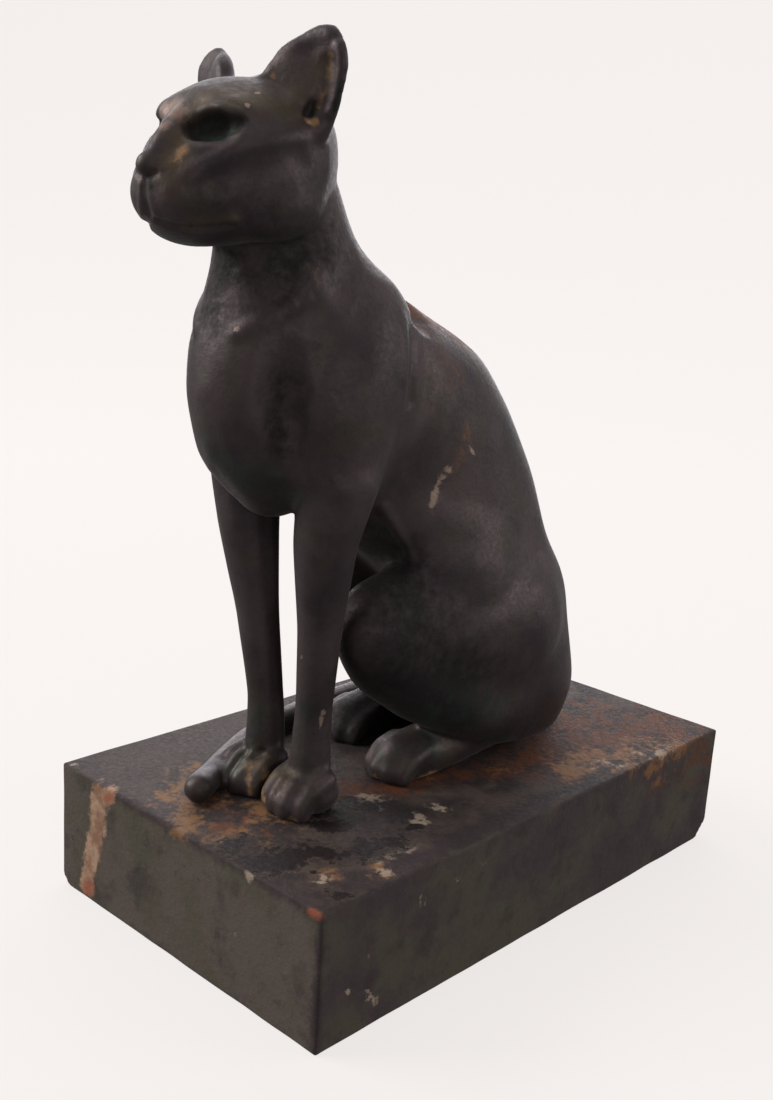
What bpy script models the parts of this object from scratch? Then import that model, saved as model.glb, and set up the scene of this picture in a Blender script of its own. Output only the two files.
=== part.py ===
"""Bronze cat on a wooden plinth.

A seated cat, cast in one piece, stands on a separate rectangular block. The cat faces -Y
and its left side is +X. The origin is the centre of the plinth's underside.
"""
import math

import bmesh
import bpy
from mathutils import Matrix, Vector

# Plinth, in metres
PLINTH_WIDTH = 0.1295
PLINTH_LENGTH = 0.2135
PLINTH_HEIGHT = 0.045
PLINTH_EDGE = 0.0008
WORN_CORNER_LEFT = 0.007
WORN_CORNER_RIGHT = 0.004
WORN_STEPS = 3

# Cat, in metres: its own proportions below are shares of this height
CAT_HEIGHT = 0.2332
U = CAT_HEIGHT / 100

# The casting rests on the block with this gap between the two solids
GAP = 0.0003

# Fineness and softness of the clay that the cat is modelled in, as shares of its height
BODY_GRAIN = 1.25
BODY_SMOOTHING = 22
HEAD_GRAIN = 0.85
HEAD_SMOOTHING = 7
FORM_GRAIN = 0.55
FORM_SMOOTHING = 1
CAT_TRIANGLES = 8900
RING_SIDES = 24
BALL_RINGS = 16

# Sizes from here on are hundredths of the cat's height, measured from the plinth's top:
# x to the cat's left, y to its back, z up. Angles are in degrees.

# Trunk from rump to neck: centre y, centre z, half width, half depth, rise of the back end
TRUNK = [
    (15.5, 1.0, 13.2, 12.8, 0),
    (15.5, 9.0, 15.2, 15.7, 0),
    (13.5, 19.0, 14.6, 14.4, 5),
    (8.3, 30.0, 13.2, 14.1, 14),
    (2.5, 39.0, 12.4, 16.5, 22),
    (-5.0, 46.5, 12.4, 18.4, 28),
    (-12.0, 52.8, 12.5, 19.4, 29),
    (-18.5, 57.4, 12.8, 18.8, 25),
    (-25.1, 61.5, 13.2, 18.8, 19),
    (-28.2, 66.0, 12.1, 16.2, 15),
    (-29.8, 70.5, 10.4, 12.4, 14),
    (-31.0, 74.5, 8.9, 9.8, 14),
    (-31.8, 78.0, 8.2, 8.7, 12),
    (-32.5, 82.0, 7.8, 8.0, 8),
    (-33.0, 86.0, 7.0, 7.0, 0),
]

# Head from nape to muzzle: y, centre z, half width, half height
HEAD = [
    (-26.6, 86.0, 3.0, 3.4),
    (-28.8, 86.0, 6.8, 7.0),
    (-33.0, 85.8, 9.5, 8.9),
    (-37.5, 85.6, 10.4, 9.4),
    (-42.0, 85.0, 10.2, 9.6),
    (-45.8, 84.0, 8.9, 8.9),
    (-48.4, 82.0, 6.4, 6.4),
    (-50.2, 81.4, 5.0, 4.7),
    (-51.6, 81.4, 3.8, 3.6),
    (-52.4, 81.4, 2.4, 2.2),
]
HEAD_FULLNESS = 0.85
NOSE_BRIDGE = [(0.0, -45.5, 89.3, 2.6), (0.0, -49.2, 86.5, 2.2), (0.0, -51.0, 84.4, 1.9)]

# Ear: x, y, z, half width, half thickness
EAR = [
    (5.8, -37.2, 88.0, 5.4, 1.9),
    (6.7, -36.7, 91.0, 5.7, 1.7),
    (8.1, -36.2, 95.0, 5.3, 1.4),
    (9.2, -35.8, 97.4, 4.5, 1.1),
    (9.8, -35.5, 99.0, 3.2, 0.9),
    (10.0, -35.3, 99.9, 2.0, 0.7),
    (10.1, -35.3, 100.6, 0.8, 0.5),
]
EAR_TURN = 24.0
EAR_CUP = 2.0
RIGHT_EAR_TALLNESS = 0.88

# Limbs run through stations of x, y, z and radius, written for the cat's left side
BREAST = [(0.0, -33.0, 64.0, 8.8), (0.0, -35.0, 57.0, 9.2), (0.0, -34.6, 50.5, 7.8), (0.0, -31.8, 45.6, 5.4)]
UPPER_ARM = [(7.2, -22.5, 68.0, 5.6), (8.4, -24.5, 62.0, 7.6), (9.2, -27.5, 55.0, 7.4), (9.2, -28.2, 47.0, 5.7)]
FOREARM = [(9.1, -28.3, 47.0, 5.2), (7.7, -28.9, 38.5, 4.2), (6.4, -27.8, 26.0, 2.95)]
FOREARM += [(5.0, -26.9, 13.5, 2.45), (4.8, -26.8, 9.0, 2.7), (4.8, -27.0, 4.0, 2.9)]
FLANK = [(7.2, -15.0, 43.5, 5.6), (8.0, -8.0, 38.5, 6.6), (8.6, 0.0, 33.5, 7.4)]
GROIN = [(9.4, -8.4, 33.8, 5.2), (9.8, -2.0, 31.6, 6.0), (9.8, 6.0, 28.0, 6.4)]
LEFT_THIGH = [(7.2, -16.2, 24.2, 8.2), (8.0, -8.0, 24.0, 9.2), (8.6, 0.0, 23.0, 10.2), (9.0, 8.0, 21.5, 11.2)]
LEFT_SHANK = [(7.3, -15.2, 20.8, 7.3), (7.9, -8.0, 15.2, 6.9), (8.7, 0.0, 11.0, 6.8), (9.4, 8.0, 8.0, 6.8)]
LEFT_FOOT = [(7.0, 8.0, 3.8, 3.8), (6.8, 0.0, 3.0, 3.8), (6.2, -5.0, 2.4, 4.2), (5.8, -9.4, 1.9, 4.0)]
RIGHT_THIGH = [(10.4, -5.6, 25.0, 7.4), (9.8, 0.0, 24.0, 8.8), (9.2, 8.0, 21.5, 11.0)]
RIGHT_SHANK = [(10.6, -4.0, 23.0, 5.8), (10.4, 2.5, 16.0, 5.6), (9.8, 9.0, 10.0, 6.2)]
RIGHT_FOOT = [(9.4, 10.0, 3.8, 3.8), (10.0, 4.0, 2.9, 3.6), (9.9, 0.0, 2.4, 4.1), (9.8, -4.4, 1.9, 3.9)]
TAIL = [
    (-2.0, 29.0, 5.0, 3.2),
    (4.0, 31.0, 3.2, 2.8),
    (10.5, 29.5, 2.4, 2.5),
    (15.5, 24.0, 2.1, 2.3),
    (18.0, 15.0, 1.9, 2.1),
    (18.4, 5.0, 1.8, 2.0),
    (18.0, -6.0, 1.7, 1.9),
    (16.8, -15.0, 1.6, 1.8),
    (14.4, -22.0, 1.6, 1.8),
    (11.4, -28.0, 1.6, 1.8),
    (7.8, -34.4, 1.6, 1.8),
    (5.2, -38.4, 1.9, 2.1),
]
THIGH_FLATNESS = 0.78
SHANK_FLATNESS = 0.82

# Rounded masses: centre and radii
HAUNCH = (8.3, 8.2, 19.8)
HAUNCH_RADII = (7.1, 15.4, 16.4)
HAUNCH_TILT = -12
CHEEK = (5.6, -38.5, 80.8)
CHEEK_RADII = (4.9, 7.6, 4.6)
BROW = (5.0, -43.6, 89.9)
BROW_RADII = (3.8, 3.4, 1.9)
NOSE_PAD = (0.0, -51.9, 83.4)
NOSE_PAD_RADII = (2.2, 1.2, 1.4)

PAW = (5.0, -27.6, 2.3)
PAW_RADII = (4.7, 4.5, 3.2)
HIND_TOES = (5.8, -8.2, 1.7)
RIGHT_HIND_TOES = (9.8, -3.2, 1.7)
TOE_COUNT = 4
TOE_SPACING = 2.2
TOE_RADIUS = 1.25
TOE_PROFILE = [(0.0, 2.3), (-3.2, 1.4), (-4.8, -0.5), (-4.8, -1.6)]
OUTER_TOE_SETBACK = 1.0

# Hollows pressed into both sides: centre, reach each way, and how far the deepest point moves
EYE_HOLLOW = ((5.8, -47.6, 88.2), (4.2, 3.6, 2.3), (-1.0, 1.5, 0.0))
BREAST_FURROW = ((8.2, -37.5, 58.0), (3.0, 6.0, 10.0), (-0.6, 1.6, 0.0))
SHOULDER_NOTCH = ((7.0, -14.8, 68.0), (6.5, 3.2, 4.5), (-0.9, -0.4, -1.5))
SHOULDER_STEP = ((11.0, -16.5, 59.0), (4.0, 2.6, 8.0), (-0.6, -0.2, 0.0))
HOLLOWS = [EYE_HOLLOW, BREAST_FURROW, SHOULDER_NOTCH, SHOULDER_STEP]


def clear_scene():
    for obj in list(bpy.data.objects):
        bpy.data.objects.remove(obj, do_unlink=True)


def make_collection(name):
    collection = bpy.data.collections.new(name)
    bpy.context.scene.collection.children.link(collection)
    return collection


def make_material(name, colour, roughness, metallic):
    material = bpy.data.materials.new(name)
    material.use_nodes = True
    shader = material.node_tree.nodes["Principled BSDF"]
    shader.inputs["Base Color"].default_value = (*colour, 1.0)
    shader.inputs["Roughness"].default_value = roughness
    shader.inputs["Metallic"].default_value = metallic
    return material


def ring_edges(verts):
    inside = set(verts)
    return list({edge for vert in verts for edge in vert.link_edges if edge.other_vert(vert) in inside})


def add_rings(bm, frames, fullness=1.0):
    """A closed skin through rings. Each frame places a unit circle, squarer for a lower fullness."""
    loops = []
    for frame in frames:
        made = bmesh.ops.create_circle(bm, cap_ends=False, segments=RING_SIDES, radius=1.0)
        for vert in made["verts"]:
            x, y, z = vert.co
            square = Vector((math.copysign(abs(x) ** fullness, x), math.copysign(abs(y) ** fullness, y), z))
            vert.co = frame @ square
        loops.append(made["verts"])
    for lower, upper in zip(loops, loops[1:]):
        bmesh.ops.bridge_loops(bm, edges=ring_edges(lower) + ring_edges(upper))
    for end in (loops[0], loops[-1]):
        bmesh.ops.contextual_create(bm, geom=ring_edges(end))


def add_mass(bm, centre, radii, tilt=0.0, turn=0.0):
    """A rounded lump of clay. Tilt leans its top forward, turn swings its left side back."""
    place = (
        Matrix.Translation(Vector(centre))
        @ Matrix.Rotation(math.radians(turn), 4, "Z")
        @ Matrix.Rotation(math.radians(tilt), 4, "X")
        @ Matrix.Diagonal((*radii, 1.0))
    )
    bmesh.ops.create_uvsphere(bm, u_segments=RING_SIDES, v_segments=BALL_RINGS, radius=1.0, matrix=place)


def add_limb(bm, stations, side=1, flatness=1.0):
    """A limb through stations of x, y, z and radius, with round ends, thinner across than deep."""
    points = [Vector((side * x, y, z)) for x, y, z, radius in stations]
    frames = []
    for index, point in enumerate(points):
        before = points[max(index - 1, 0)]
        after = points[min(index + 1, len(points) - 1)]
        radius = stations[index][3]
        along = (after - before).to_track_quat("Z", "Y").to_matrix().to_4x4()
        size = Matrix.Diagonal((radius * flatness, radius, 1.0, 1.0))
        frames.append(Matrix.Translation(point) @ along @ size)
    add_rings(bm, frames)
    for index in (0, -1):
        radius = stations[index][3]
        add_mass(bm, points[index], (radius * flatness, radius, radius))


def bake(name, bm, modifiers):
    """Turn a bmesh into a mesh with the given modifiers applied."""
    mesh = bpy.data.meshes.new(name)
    bm.to_mesh(mesh)
    bm.free()
    obj = bpy.data.objects.new(name, mesh)
    bpy.context.scene.collection.objects.link(obj)
    for kind, settings in modifiers:
        modifier = obj.modifiers.new(kind.title(), kind)
        for key, value in settings.items():
            setattr(modifier, key, value)
    graph = bpy.context.evaluated_depsgraph_get()
    baked = bpy.data.meshes.new_from_object(obj.evaluated_get(graph), depsgraph=graph)
    bpy.data.objects.remove(obj, do_unlink=True)
    bpy.data.meshes.remove(mesh)
    return baked


def take_mesh(bm, mesh):
    bm.from_mesh(mesh)
    bpy.data.meshes.remove(mesh)


def fuse(name, bm, grain, smoothing):
    """Fuse overlapping lumps into one skin and smooth the joins."""
    voxels = {"mode": "VOXEL", "voxel_size": grain, "adaptivity": 0.0}
    return bake(name, bm, [("REMESH", voxels), ("SMOOTH", {"factor": 0.5, "iterations": smoothing})])


def model_body():
    """The large masses, fused coarsely and smoothed until they flow into each other."""
    bm = bmesh.new()
    frames = []
    for y, z, half_width, half_depth, rise in TRUNK:
        place = Matrix.Translation((0.0, y, z)) @ Matrix.Rotation(math.radians(rise), 4, "X")
        frames.append(place @ Matrix.Diagonal((half_width, half_depth, 1.0, 1.0)))
    add_rings(bm, frames)
    add_limb(bm, BREAST)
    for side in (1, -1):
        add_limb(bm, UPPER_ARM, side, THIGH_FLATNESS)
        add_limb(bm, FLANK, side, THIGH_FLATNESS)
        add_limb(bm, GROIN, side, THIGH_FLATNESS)
        add_mass(bm, (side * HAUNCH[0], HAUNCH[1], HAUNCH[2]), HAUNCH_RADII, HAUNCH_TILT)
    for side, thigh, shank in ((1, LEFT_THIGH, LEFT_SHANK), (-1, RIGHT_THIGH, RIGHT_SHANK)):
        add_limb(bm, thigh, side, THIGH_FLATNESS)
        add_limb(bm, shank, side, SHANK_FLATNESS)
    return fuse("Body", bm, BODY_GRAIN, BODY_SMOOTHING)


def model_head():
    bm = bmesh.new()
    frames = []
    for y, z, half_width, half_height in HEAD:
        place = Matrix.Translation((0.0, y, z)) @ Matrix.Rotation(math.radians(90), 4, "X")
        frames.append(place @ Matrix.Diagonal((half_width, half_height, 1.0, 1.0)))
    add_rings(bm, frames, HEAD_FULLNESS)
    for side in (1, -1):
        add_mass(bm, (side * CHEEK[0], CHEEK[1], CHEEK[2]), CHEEK_RADII)
        add_mass(bm, (side * BROW[0], BROW[1], BROW[2]), BROW_RADII, tilt=-20, turn=side * 32)
    return fuse("Head", bm, HEAD_GRAIN, HEAD_SMOOTHING)


def add_ear(bm, side):
    """A leaf that stands on its edge, cupped forward."""
    leaf = bmesh.new()
    foot = EAR[0][2]
    tallness = 1.0 if side > 0 else RIGHT_EAR_TALLNESS
    turn = Matrix.Rotation(math.radians(side * EAR_TURN), 4, "Z")
    frames = []
    for x, y, z, half_width, half_depth in EAR:
        place = Matrix.Translation((side * x, y, foot + (z - foot) * tallness)) @ turn
        frames.append(place @ Matrix.Diagonal((half_width, half_depth, 1.0, 1.0)))
    add_rings(leaf, frames)
    across = turn.to_3x3() @ Vector((1.0, 0.0, 0.0))
    forward = turn.to_3x3() @ Vector((0.0, -1.0, 0.0))
    middle = Vector((side * EAR[2][0], EAR[2][1], EAR[2][2]))
    for vert in leaf.verts:
        share = (vert.co - middle).dot(across) / EAR[1][3]
        vert.co += forward * EAR_CUP * (share * share - 0.5)
    mesh = bpy.data.meshes.new("Ear")
    leaf.to_mesh(mesh)
    leaf.free()
    take_mesh(bm, mesh)


def add_toes(bm, side, middle):
    """Toes side by side over the front of a foot, the outer two set back."""
    x, y, z = middle
    for toe in range(TOE_COUNT):
        place = toe - (TOE_COUNT - 1) / 2
        setback = OUTER_TOE_SETBACK * (abs(place) > 1)
        stations = []
        for ahead, above in TOE_PROFILE:
            stations.append((x + place * TOE_SPACING, y + ahead + setback, z + above, TOE_RADIUS))
        add_limb(bm, stations, side)


def model_cat():
    """Body and head with the slender parts added, fused finely so that they stay crisp."""
    bm = bmesh.new()
    take_mesh(bm, model_body())
    take_mesh(bm, model_head())
    add_limb(bm, NOSE_BRIDGE)
    add_mass(bm, NOSE_PAD, NOSE_PAD_RADII)
    add_limb(bm, TAIL, side=-1)
    for side, foot, hind_toes in ((1, LEFT_FOOT, HIND_TOES), (-1, RIGHT_FOOT, RIGHT_HIND_TOES)):
        add_ear(bm, side)
        add_limb(bm, FOREARM, side)
        add_mass(bm, (side * PAW[0], PAW[1], PAW[2]), PAW_RADII)
        add_toes(bm, side, PAW)
        add_limb(bm, foot, side)
        add_toes(bm, side, hind_toes)
    return fuse("Clay", bm, FORM_GRAIN, FORM_SMOOTHING)


def press_hollow(bm, centre, reach, push):
    """Push the skin near a point on both sides of the cat, fading to nothing at its reach."""
    for side in (1, -1):
        middle = Vector((side * centre[0], centre[1], centre[2]))
        move = Vector((side * push[0], push[1], push[2]))
        for vert in bm.verts:
            away = vert.co - middle
            far = sum((away[axis] / reach[axis]) ** 2 for axis in range(3))
            if far < 1.0:
                vert.co += move * (1.0 - far) ** 2


def finish_cat(mesh):
    """Press the hollows, thin the skin, cut the underside flat and set the cat on its block."""
    bm = bmesh.new()
    take_mesh(bm, mesh)
    for centre, reach, push in HOLLOWS:
        press_hollow(bm, centre, reach, push)
    ratio = CAT_TRIANGLES / (2 * len(bm.faces))
    thin = bake("Thin", bm, [("DECIMATE", {"ratio": ratio})])
    bm = bmesh.new()
    take_mesh(bm, thin)
    bmesh.ops.scale(bm, vec=(U, U, U), verts=bm.verts)
    whole = bm.verts[:] + bm.edges[:] + bm.faces[:]
    cut = bmesh.ops.bisect_plane(bm, geom=whole, plane_co=(0, 0, 0), plane_no=(0, 0, 1), clear_inner=True)
    rim = [item for item in cut["geom_cut"] if isinstance(item, bmesh.types.BMEdge)]
    bmesh.ops.edgenet_fill(bm, edges=rim)
    bmesh.ops.triangulate(bm, faces=bm.faces)
    bmesh.ops.recalc_face_normals(bm, faces=bm.faces)
    bmesh.ops.translate(bm, vec=(0, 0, PLINTH_HEIGHT + GAP), verts=bm.verts)
    finished = bpy.data.meshes.new("cat")
    bm.to_mesh(finished)
    bm.free()
    finished.shade_smooth()
    return finished


def model_plinth():
    """A block with two of its bottom corners worn round."""
    bm = bmesh.new()
    bmesh.ops.create_cube(bm, size=1.0)
    bmesh.ops.scale(bm, vec=(PLINTH_WIDTH, PLINTH_LENGTH, PLINTH_HEIGHT), verts=bm.verts)
    bmesh.ops.translate(bm, vec=(0, 0, PLINTH_HEIGHT / 2), verts=bm.verts)
    for worn, side_x, side_y in ((WORN_CORNER_LEFT, 1, 1), (WORN_CORNER_RIGHT, -1, -1)):
        corner = min(bm.verts, key=lambda vert: vert.co.z - side_x * vert.co.x - side_y * vert.co.y)
        bmesh.ops.bevel(
            bm, geom=[corner], affect="VERTICES", offset=worn, segments=WORN_STEPS, profile=0.5, material=-1
        )
    mesh = bpy.data.meshes.new("plinth")
    bm.to_mesh(mesh)
    bm.free()
    return mesh


def add_object(name, mesh, material, collection):
    mesh.materials.append(material)
    obj = bpy.data.objects.new(name, mesh)
    collection.objects.link(obj)
    return obj


def main():
    clear_scene()
    collection = make_collection("bronze_cat_statue")
    bronze = make_material("patinated_bronze", (0.055, 0.045, 0.042), 0.42, 1.0)
    wood = make_material("dark_stained_wood", (0.045, 0.042, 0.036), 0.55, 0.0)
    plinth = add_object("plinth", model_plinth(), wood, collection)
    edge = plinth.modifiers.new("Edge", "BEVEL")
    edge.width = PLINTH_EDGE
    edge.segments = 1
    edge.limit_method = "ANGLE"
    cat = add_object("cat", finish_cat(model_cat()), bronze, collection)
    cat.parent = plinth


main()
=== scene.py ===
# %% [markdown]
# # Seated bronze cat on a worn wooden block
# The real object is two things: one hollow bronze casting of a seated cat, and the dark wooden
# block that it stands on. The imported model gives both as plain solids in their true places.
# This script dresses them: it refines the skin of the casting, carves the face, ears and paws
# into it, ages the block, and gives each the finish that its surface has.

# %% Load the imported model
import math

import bmesh
import bpy
import numpy as np
from mathutils import Matrix, Vector, noise


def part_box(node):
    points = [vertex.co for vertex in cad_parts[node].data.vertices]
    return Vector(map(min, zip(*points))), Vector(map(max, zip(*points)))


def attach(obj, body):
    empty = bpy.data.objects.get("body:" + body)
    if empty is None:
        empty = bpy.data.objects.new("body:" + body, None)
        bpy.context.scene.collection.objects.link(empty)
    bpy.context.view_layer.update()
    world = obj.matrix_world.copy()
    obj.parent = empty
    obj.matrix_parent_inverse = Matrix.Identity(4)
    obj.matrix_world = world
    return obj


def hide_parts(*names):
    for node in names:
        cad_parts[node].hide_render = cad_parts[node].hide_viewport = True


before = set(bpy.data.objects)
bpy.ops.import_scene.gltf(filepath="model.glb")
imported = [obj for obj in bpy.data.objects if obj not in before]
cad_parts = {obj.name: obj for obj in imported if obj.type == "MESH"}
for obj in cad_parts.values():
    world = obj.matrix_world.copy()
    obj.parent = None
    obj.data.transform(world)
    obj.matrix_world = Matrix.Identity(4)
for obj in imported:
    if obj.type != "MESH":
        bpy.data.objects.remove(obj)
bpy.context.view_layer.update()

MM = 0.001

# %% [markdown]
# ## The measure
# The cat's own proportions are easier to read as hundredths of its height than in metres, so
# all carving below is written in that unit, from the middle of the block's top: x runs to the
# cat's left, y to its back and z up.

# %% Measures
UNIT = 0.002332
block_low, block_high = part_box("plinth")
BLOCK_TOP = block_high.z
ORIGIN = np.array([0.0, 0.0, BLOCK_TOP])
print("one hundredth of the cat is", round(UNIT / MM, 3), "mm")

# %% [markdown]
# ## The camera
# The photograph is a hand-held one: from the cat's front left, a little above it, tipped down
# and slightly rolled. The camera is given by the directions that point right, down and forward
# in the picture, which say all of that at once.

# %% Camera
RIGHTWARD = Vector((0.7196764, 0.6917210, 0.0598993))
DOWNWARD = Vector((0.2142825, -0.1392230, -0.9667988))
FORWARD = Vector((-0.6604157, 0.7086177, -0.2484192))
STANDPOINT = Vector((0.287513, -0.329154, 0.230296))
SENSOR_MM = 36.0
LENS_MM = 41.741
camera = bpy.data.objects.new("camera", bpy.data.cameras.new("camera"))
bpy.context.scene.collection.objects.link(camera)
turn = Matrix((RIGHTWARD, -DOWNWARD, -FORWARD)).transposed().to_4x4()
camera.matrix_world = Matrix.Translation(STANDPOINT) @ turn
camera.data.sensor_width = SENSOR_MM
camera.data.lens = LENS_MM
bpy.context.scene.camera = camera
print("camera", round(STANDPOINT.length, 3), "m from the middle of the block's underside")

# %% [markdown]
# ## The set
# The object stands on white paper that sweeps up all round it, in soft daylight from above and
# from the picture's left. The paper is bright enough to be near white in the picture. It is
# kept out of the metal's reflections, as black cards do in a studio, because dark bronze shows
# its form by what it doesn't reflect.

# %% Colours and nodes
def ink(code):
    """An sRGB hex colour as linear red, green, blue and alpha."""
    parts = [int(code[at:at + 2], 16) / 255 for at in (1, 3, 5)]
    return (*[c / 12.92 if c <= 0.04045 else ((c + 0.055) / 1.055) ** 2.4 for c in parts], 1.0)


def add_node(tree, kind, settings, inputs):
    """Add a node, set its properties, and set or link its inputs by name or number."""
    made = tree.nodes.new("ShaderNode" + kind)
    for key, value in settings.items():
        setattr(made, key, value)
    for key, value in inputs.items():
        if isinstance(value, bpy.types.NodeSocket):
            tree.links.new(value, made.inputs[key])
        else:
            made.inputs[key].default_value = value
    return made


def new_material(name):
    """A material with no nodes in it yet. Returns it and its node tree."""
    made = bpy.data.materials.new(name)
    made.use_nodes = True
    made.node_tree.nodes.clear()
    return made, made.node_tree


# %% Paper sweep
PAPER_RADIUS = 2.0
PAPER_RISE = 1.6
PAPER_FLAT = 0.4  # the flat middle, as a share of the radius
PAPER_SIDES = 96
PAPER_STEPS = 12
PAPER_GLOW = 0.8
flat_radius = PAPER_RADIUS * PAPER_FLAT
paper_bm = bmesh.new()
bmesh.ops.create_circle(paper_bm, cap_ends=True, segments=PAPER_SIDES, radius=flat_radius)
rim = [edge for edge in paper_bm.edges if edge.is_boundary]
for step in range(1, PAPER_STEPS + 1):
    turned = step / PAPER_STEPS * math.pi / 2
    grown = bmesh.ops.extrude_edge_only(paper_bm, edges=rim)["geom"]
    rim = [item for item in grown if isinstance(item, bmesh.types.BMEdge)]
    radius = PAPER_RADIUS * (PAPER_FLAT + (1 - PAPER_FLAT) * math.sin(turned))
    for vert in {vert for edge in rim for vert in edge.verts}:
        flat = Vector((vert.co.x, vert.co.y, 0.0)).normalized() * radius
        vert.co = (flat.x, flat.y, PAPER_RISE * (1 - math.cos(turned)))
bmesh.ops.recalc_face_normals(paper_bm, faces=paper_bm.faces)
paper_mesh = bpy.data.meshes.new("paper_sweep")
paper_bm.to_mesh(paper_mesh)
paper_bm.free()
paper_mesh.shade_smooth()
paper_finish, tree = new_material("white_paper")
cast = add_node(tree, "BsdfDiffuse", {}, {"Color": ink("#656362")})
glow = add_node(tree, "Emission", {}, {"Color": ink("#fbf7f5"), "Strength": PAPER_GLOW})
both = add_node(tree, "AddShader", {}, {0: cast.outputs[0], 1: glow.outputs[0]})
add_node(tree, "OutputMaterial", {}, {"Surface": both.outputs[0]})
paper_mesh.materials.append(paper_finish)
paper = bpy.data.objects.new("paper_sweep", paper_mesh)
bpy.context.scene.collection.objects.link(paper)
paper.visible_glossy = False
paper.visible_diffuse = False
paper.visible_shadow = False
print("paper", PAPER_RADIUS * 2, "m across")

# %% Soft daylight
MIDDLE = Vector((0.0, 0.0, 0.14))
ROOM_GLOW = 0.3
SOFTBOXES = [
    # name, place and side in metres, watts, colour
    ("window", (-2.5, -1.9, 1.9), 2.2, 125.0, "#fff8f4"),
    ("ceiling", (-0.2, 0.3, 3.2), 2.8, 32.0, "#fffaf7"),
    ("white_wall", (-2.0, 2.1, 1.2), 3.2, 90.0, "#fbfaff"),
    ("doorway", (2.2, 2.4, 1.3), 2.2, 32.0, "#fffaf7"),
    ("fill", (2.6, -1.4, 1.2), 2.4, 16.0, "#fff8f4"),
]


def add_softbox(name, place, side, watts, colour):
    """A square soft light that looks at the middle of the cat."""
    light = bpy.data.lights.new(name, "AREA")
    light.size = side
    light.energy = watts
    light.color = ink(colour)[:3]
    lamp = bpy.data.objects.new(name, light)
    bpy.context.scene.collection.objects.link(lamp)
    lamp.location = place
    lamp.rotation_euler = (MIDDLE - Vector(place)).to_track_quat("-Z", "Y").to_euler()
    lamp.visible_camera = False


for name, place, side, watts, colour in SOFTBOXES:
    add_softbox(name, place, side, watts, colour)
world = bpy.data.worlds.new("room")
bpy.context.scene.world = world
world.use_nodes = True
world.node_tree.nodes["Background"].inputs["Color"].default_value = ink("#f4f0ee")
world.node_tree.nodes["Background"].inputs["Strength"].default_value = ROOM_GLOW
bpy.context.scene.view_settings.view_transform = "Standard"

# %% [markdown]
# ## The skin of the casting
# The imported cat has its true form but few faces. A real casting has a continuous skin, soft
# from being polished and waxed. Subdividing rounds the flats of the solid away, a voxel remesh
# lays an even skin of very small faces over it, like wax over a core, and relaxing melts the
# steps that the voxels leave. It is carved at that fineness, and thinned out afterwards.

# %% Fine even skin
WELD = 0.01 * MM
SKIN_LEVELS = 2
SKIN_GRAIN = 0.75 * MM
SKIN_GROWTH = 0.25 * MM


def mesh_from(name, bm, modifiers=()):
    """Turn a bmesh into a mesh, with modifiers applied."""
    mesh = bpy.data.meshes.new(name)
    bm.to_mesh(mesh)
    bm.free()
    if not modifiers:
        return mesh
    holder = bpy.data.objects.new(name, mesh)
    bpy.context.scene.collection.objects.link(holder)
    for kind, settings in modifiers:
        modifier = holder.modifiers.new(kind.title(), kind)
        for key, value in settings.items():
            setattr(modifier, key, value)
    graph = bpy.context.evaluated_depsgraph_get()
    made = bpy.data.meshes.new_from_object(holder.evaluated_get(graph), depsgraph=graph)
    bpy.data.objects.remove(holder, do_unlink=True)
    bpy.data.meshes.remove(mesh)
    return made


solid = bmesh.new()
solid.from_mesh(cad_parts["cat"].data)
bmesh.ops.remove_doubles(solid, verts=solid.verts, dist=WELD)
cat_mesh = mesh_from("skin", solid, [
    ("SUBSURF", {"levels": SKIN_LEVELS, "render_levels": SKIN_LEVELS}),
    ("DISPLACE", {"mid_level": 0.0, "strength": SKIN_GROWTH}),
    ("REMESH", {"mode": "VOXEL", "voxel_size": SKIN_GRAIN, "adaptivity": 0.0}),
])
print("skin", len(cat_mesh.vertices), "points")

# %% [markdown]
# ## Melting the steps
# The remesh leaves fine stairs. A maker smooths the wax with a warm tool, and moving each
# point to the middle of its neighbours does the same. That alone would shrink thin forms such
# as the ears, so each move inwards is followed by one outwards.

# %% Relax the skin
RELAX_PASSES = 12
RELAX_PULL = 0.5
RELAX_PUSH = -0.51


def read_points(mesh):
    """The mesh's points, a row each."""
    flat = np.empty(len(mesh.vertices) * 3)
    mesh.vertices.foreach_get("co", flat)
    return flat.reshape(-1, 3)


def write_points(mesh, points):
    """Put the mesh's points where the rows say."""
    mesh.vertices.foreach_set("co", points.ravel())
    mesh.update()


def read_normals(mesh):
    """The direction out of the skin at each point, a row each."""
    flat = np.empty(len(mesh.vertices) * 3)
    mesh.vertices.foreach_get("normal", flat)
    return flat.reshape(-1, 3)


def relax(mesh, passes):
    """Draw each point to the middle of its neighbours, then push it back so nothing thins."""
    pairs = np.empty(len(mesh.edges) * 2, np.int64)
    mesh.edges.foreach_get("vertices", pairs)
    first, second = pairs.reshape(-1, 2).T
    points = read_points(mesh)
    count = np.bincount(pairs, minlength=len(points))[:, None]
    for share in (RELAX_PULL, RELAX_PUSH) * passes:
        total = np.stack(
            [
                np.bincount(first, points[second, axis], len(points))
                + np.bincount(second, points[first, axis], len(points))
                for axis in range(3)
            ],
            axis=1,
        )
        points += (total / count - points) * share
    write_points(mesh, points)


def in_units(points):
    """Metres as hundredths of the cat's height, from the middle of the block's top."""
    return (points - ORIGIN) / UNIT


relax(cat_mesh, RELAX_PASSES)
extent = np.ptp(in_units(read_points(cat_mesh)), axis=0)
print("relaxed to", [round(float(value), 1) for value in extent], "units")

# %% [markdown]
# ## Carving
# The maker cut the lids, nostrils, mouth, ear folds and toes into the wax with a few tools.
# Each is a stroke here: a path, how far the tool reaches to either side, and how deep it
# presses, or how high it raises the skin when the number is positive. A stroke is made on
# both sides of the cat alike, or only where it is written, because the two sides differ: the
# near eye is cut deeper than the far one.

# %% Carving tool
BOTH_SIDES = (1, -1)
AS_WRITTEN = (1,)


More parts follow.
